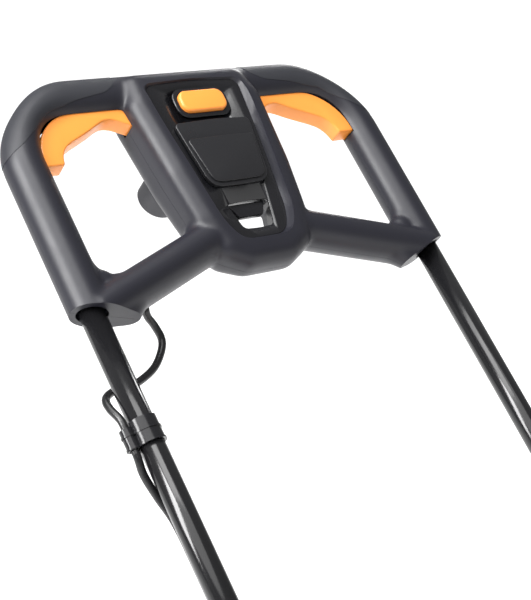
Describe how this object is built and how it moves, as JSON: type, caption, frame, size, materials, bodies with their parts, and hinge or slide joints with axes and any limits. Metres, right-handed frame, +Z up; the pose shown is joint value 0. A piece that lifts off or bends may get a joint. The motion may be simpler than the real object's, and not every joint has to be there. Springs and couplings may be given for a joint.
{
  "type": "push lawn mower",
  "caption": "Corded electric push mower: folding two-part tube handle with twin switch levers and a central control hub, rotary deck, four wheels and a pull-off grass box.",
  "frame": {"origin": "on the ground, under the middle of the whole mower seen from above", "axes": "+Z up, -Y the way the mower is pushed, +Y towards the person pushing, +X the mower's left side"},
  "size_m": [0.4546, 1.2873, 1.0128],
  "materials": {
    "satin_black": "fine-textured satin",
    "soft_grip": "soft matt",
    "gloss_black": "polished",
    "orange": "semi-gloss",
    "tube_paint": "gloss black",
    "sheath": "semi-gloss",
    "steel": "zinc plated",
    "brass": "bright",
    "windings": "varnished",
    "tyre": "matt",
    "blade": "hardened, dark",
    "grommet": "matt"
  },
  "bodies": {
    "deck": {"deck_shell": "orange", "motor_cover": "satin_black", "motor": "windings", "lead_grommet": "grommet", "motor_lead_lower": "sheath", "lead_clip_lower": "satin_black", "lower_tube_left": "tube_paint", "lower_tube_right": "tube_paint", "fold_bolt_left": "steel", "fold_bolt_right": "steel", "fold_spacer_left": "satin_black", "fold_spacer_right": "satin_black", "front_axle": "steel", "rear_axle": "steel", "flap_rod": "steel"},
    "handle": {"handle_upper_shell": "satin_black", "handle_lower_shell": "satin_black", "corner_grip_left": "soft_grip", "corner_grip_right": "soft_grip", "control_panel": "gloss_black", "panel_cover": "satin_black", "button_bezel": "gloss_black", "button_spring": "steel", "lead_hook": "gloss_black", "mains_inlet": "satin_black", "inlet_contacts": "brass", "switch_module": "sheath", "lever_pin_left": "steel", "lever_pin_right": "steel", "lever_spring_left": "steel", "lever_spring_right": "steel", "upper_tube_left": "tube_paint", "upper_tube_right": "tube_paint", "motor_lead_upper": "sheath", "lead_clip_upper": "satin_black"},
    "lever_left": {"switch_lever_left": "orange"},
    "lever_right": {"switch_lever_right": "orange"},
    "button": {"start_button": "orange"},
    "knob_left": {"wing_knob_left": "satin_black"},
    "knob_right": {"wing_knob_right": "satin_black"},
    "cutter": {"motor_shaft": "steel", "cooling_fan": "satin_black", "blade_holder": "steel", "cutting_blade": "blade", "blade_bolt": "steel"},
    "flap": {"rear_flap": "satin_black"},
    "collector": {"grass_box": "satin_black", "grass_box_lid": "satin_black"},
    "front_wheel_left_body": {"front_wheel_left": "satin_black", "front_tyre_left": "tyre", "front_hub_cap_left": "orange"},
    "front_wheel_right_body": {"front_wheel_right": "satin_black", "front_tyre_right": "tyre", "front_hub_cap_right": "orange"},
    "rear_wheel_left_body": {"rear_wheel_left": "satin_black", "rear_tyre_left": "tyre", "rear_hub_cap_left": "orange"},
    "rear_wheel_right_body": {"rear_wheel_right": "satin_black", "rear_tyre_right": "tyre", "rear_hub_cap_right": "orange"}
  },
  "joints": [
    {"name": "handle_fold", "type": "hinge", "parent": "deck", "child": "handle", "pos_m": [0, 0.10809, 0.49041], "axis": [1, 0, 0], "range_deg": [0, 150]},
    {"name": "wing_knob_turn_left", "type": "hinge", "parent": "deck", "child": "knob_left", "pos_m": [0.215, 0.10809, 0.49041], "axis": [1, 0, 0], "continuous": true},
    {"name": "lever_squeeze_left", "type": "hinge", "parent": "handle", "child": "lever_left", "pos_m": [0.066, 0.59738, 0.97123], "axis": [0, -0.7009, 0.7133], "range_deg": [0, 5], "stiffness_Nm_per_rad": 1.5, "springref_deg": -6.88, "deforming": ["lever_spring_left"]},
    {"name": "wing_knob_turn_right", "type": "hinge", "parent": "deck", "child": "knob_right", "pos_m": [-0.215, 0.10809, 0.49041], "axis": [-1, 0, 0], "continuous": true},
    {"name": "lever_squeeze_right", "type": "hinge", "parent": "handle", "child": "lever_right", "pos_m": [-0.066, 0.59738, 0.97123], "axis": [0, 0.7009, -0.7133], "range_deg": [0, 5], "stiffness_Nm_per_rad": 1.5, "springref_deg": -6.88, "deforming": ["lever_spring_right"]},
    {"name": "start_button_press", "type": "slide", "parent": "handle", "child": "button", "axis": [0, 0.7361, -0.6769], "range_m": [0, 0.003], "stiffness_N_per_m": 800, "springref_m": -0.002, "deforming": ["button_spring"]},
    {"name": "blade_spin", "type": "hinge", "parent": "deck", "child": "cutter", "pos_m": [0, -0.38787, 0.054], "axis": [0, 0, 1], "continuous": true},
    {"name": "front_wheel_roll_left", "type": "hinge", "parent": "deck", "child": "front_wheel_left_body", "pos_m": [0.2045, -0.57387, 0.07], "axis": [1, 0, 0], "continuous": true},
    {"name": "front_wheel_roll_right", "type": "hinge", "parent": "deck", "child": "front_wheel_right_body", "pos_m": [-0.2045, -0.57387, 0.07], "axis": [1, 0, 0], "continuous": true},
    {"name": "rear_wheel_roll_left", "type": "hinge", "parent": "deck", "child": "rear_wheel_left_body", "pos_m": [0.2045, -0.19787, 0.085], "axis": [1, 0, 0], "continuous": true},
    {"name": "rear_wheel_roll_right", "type": "hinge", "parent": "deck", "child": "rear_wheel_right_body", "pos_m": [-0.2045, -0.19787, 0.085], "axis": [1, 0, 0], "continuous": true},
    {"name": "rear_flap_lift", "type": "hinge", "parent": "deck", "child": "flap", "pos_m": [0, -0.16187, 0.164], "axis": [1, 0, 0], "range_deg": [0, 60]},
    {"name": "grass_box_pull", "type": "slide", "parent": "deck", "child": "collector", "axis": [0, 1, 0], "range_m": [0, 0.35]}
  ]
}
